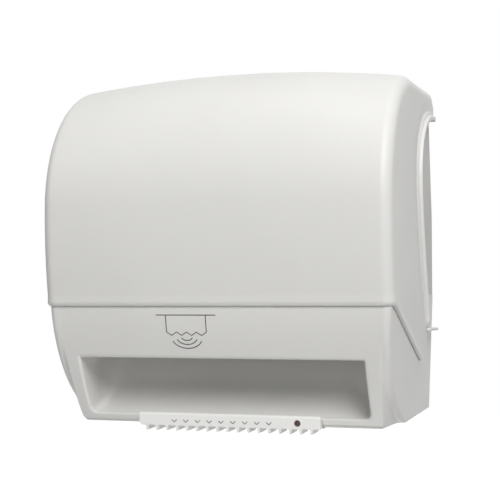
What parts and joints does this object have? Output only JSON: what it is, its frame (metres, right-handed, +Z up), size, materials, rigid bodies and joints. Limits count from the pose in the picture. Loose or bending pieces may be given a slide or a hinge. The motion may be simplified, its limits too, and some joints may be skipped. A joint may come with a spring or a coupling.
{
  "type": "automatic roll towel dispenser",
  "caption": "Wall-hung touch-free roll towel dispenser: hinged rounded cover over a nose with a wide throat and toothed tear bar, with roll arms, motor-driven feed rollers and a battery box.",
  "frame": {"origin": "on the wall face of the back plate, midway across and about half way up", "axes": "+Y into the wall, the front faces -Y; +Z up; +X to the right seen from the front"},
  "size_m": [0.352, 0.252, 0.3595],
  "materials": {
    "cover_white": "fine satin mould texture",
    "housing_white": "fine satin mould texture",
    "bar_white": "smooth satin",
    "plate_grey": "matt mould texture",
    "lens_red": "clear dark red",
    "bezel_dark": "matt",
    "arm_white": "satin",
    "hub_grey": "satin",
    "frame_grey": "matt",
    "rubber": "ground rubber",
    "steel": "bright zinc",
    "bronze": "sintered",
    "acetal": "slightly waxy",
    "motor_steel": "dull zinc",
    "box_black": "matt",
    "cell_wrap": "shrink wrap",
    "board_green": "solder mask",
    "button_green": "gloss",
    "lock_brass": "turned"
  },
  "bodies": {
    "base": {"arm_bracket": "plate_grey", "arm_pin": "steel", "arm_screws": "steel", "arm_spring": "steel", "back_plate": "plate_grey", "battery_cells": "cell_wrap", "battery_contacts": "steel", "battery_lid": "frame_grey", "battery_tray": "box_black", "control_board": "board_green", "control_box": "box_black", "control_lid": "frame_grey", "frame_screws": "steel", "gear_cover": "frame_grey", "gear_motor": "motor_steel", "housing_screws": "steel", "idler_pin": "steel", "lid_screws": "steel", "lock_catch": "steel", "lower_housing": "housing_white", "motor_screws": "steel", "pinch_springs": "steel", "roll_arm_left": "arm_white", "roller_frame": "frame_grey", "sensor_bezel": "bezel_dark", "sensor_lens": "lens_red", "shaft_bushes": "bronze", "tear_bar": "bar_white"},
    "cover": {"front_cover": "cover_white", "lock_body": "steel", "lock_nut": "steel"},
    "lock": {"lock_plug": "lock_brass", "lock_cam": "steel", "lock_screw": "steel"},
    "right_arm": {"roll_arm_right": "arm_white"},
    "left_hub": {"hub_left": "hub_grey"},
    "right_hub": {"hub_right": "hub_grey"},
    "drive_roller": {"drive_shaft": "steel", "drive_sleeves": "rubber", "drive_gear": "acetal"},
    "pinch_roller": {"pinch_shaft": "steel", "pinch_rollers": "rubber"},
    "idler": {"idler_gear": "acetal"},
    "pinion": {"motor_pinion": "bronze"},
    "button": {"feed_button": "button_green"},
    "slide_switch": {"length_switch": "box_black"}
  },
  "joints": [
    {"name": "cover_swing", "type": "hinge", "parent": "base", "child": "cover", "pos_m": [0, -0.086, -0.093], "axis": [1, 0, 0], "range_deg": [0, 95]},
    {"name": "lock_turn", "type": "hinge", "parent": "cover", "child": "lock", "pos_m": [0, -0.028, 0.16], "axis": [0, 0, 1], "range_deg": [-90, 0]},
    {"name": "arm_swing", "type": "hinge", "parent": "base", "child": "right_arm", "pos_m": [0.1077, -0.018, 0.062], "axis": [0, 0, 1], "range_deg": [0, 15], "stiffness_Nm_per_rad": 1, "springref_deg": -5.73, "deforming": ["arm_spring"]},
    {"name": "left_hub_spin", "type": "hinge", "parent": "base", "child": "left_hub", "pos_m": [-0.095, -0.118, 0.062], "axis": [1, 0, 0], "continuous": true},
    {"name": "right_hub_spin", "type": "hinge", "parent": "right_arm", "child": "right_hub", "pos_m": [0.095, -0.118, 0.062], "axis": [1, 0, 0], "continuous": true},
    {"name": "drive_spin", "type": "hinge", "parent": "base", "child": "drive_roller", "pos_m": [0, -0.1778, -0.084], "axis": [1, 0, 0], "continuous": true},
    {"name": "pinch_spin", "type": "hinge", "parent": "base", "child": "pinch_roller", "pos_m": [0, -0.2012, -0.084], "axis": [1, 0, 0], "continuous": true},
    {"name": "idler_spin", "type": "hinge", "parent": "base", "child": "idler", "pos_m": [0.1225, -0.15219, -0.07949], "axis": [1, 0, 0], "continuous": true},
    {"name": "pinion_spin", "type": "hinge", "parent": "base", "child": "pinion", "pos_m": [0.1225, -0.13434, -0.08598], "axis": [1, 0, 0], "continuous": true},
    {"name": "feed_press", "type": "slide", "parent": "base", "child": "button", "axis": [0, 0, -1], "range_m": [0, 0.0015], "stiffness_N_per_m": 300, "springref_m": -0.001},
    {"name": "length_slide", "type": "slide", "parent": "base", "child": "slide_switch", "axis": [0, 1, 0], "range_m": [0, 0.006]}
  ],
  "couplings": [
    {"joint": "pinch_spin", "follows": "drive_spin", "ratio": -1.5556},
    {"joint": "idler_spin", "follows": "drive_spin", "ratio": -1.1667},
    {"joint": "pinion_spin", "follows": "drive_spin", "ratio": 2}
  ]
}
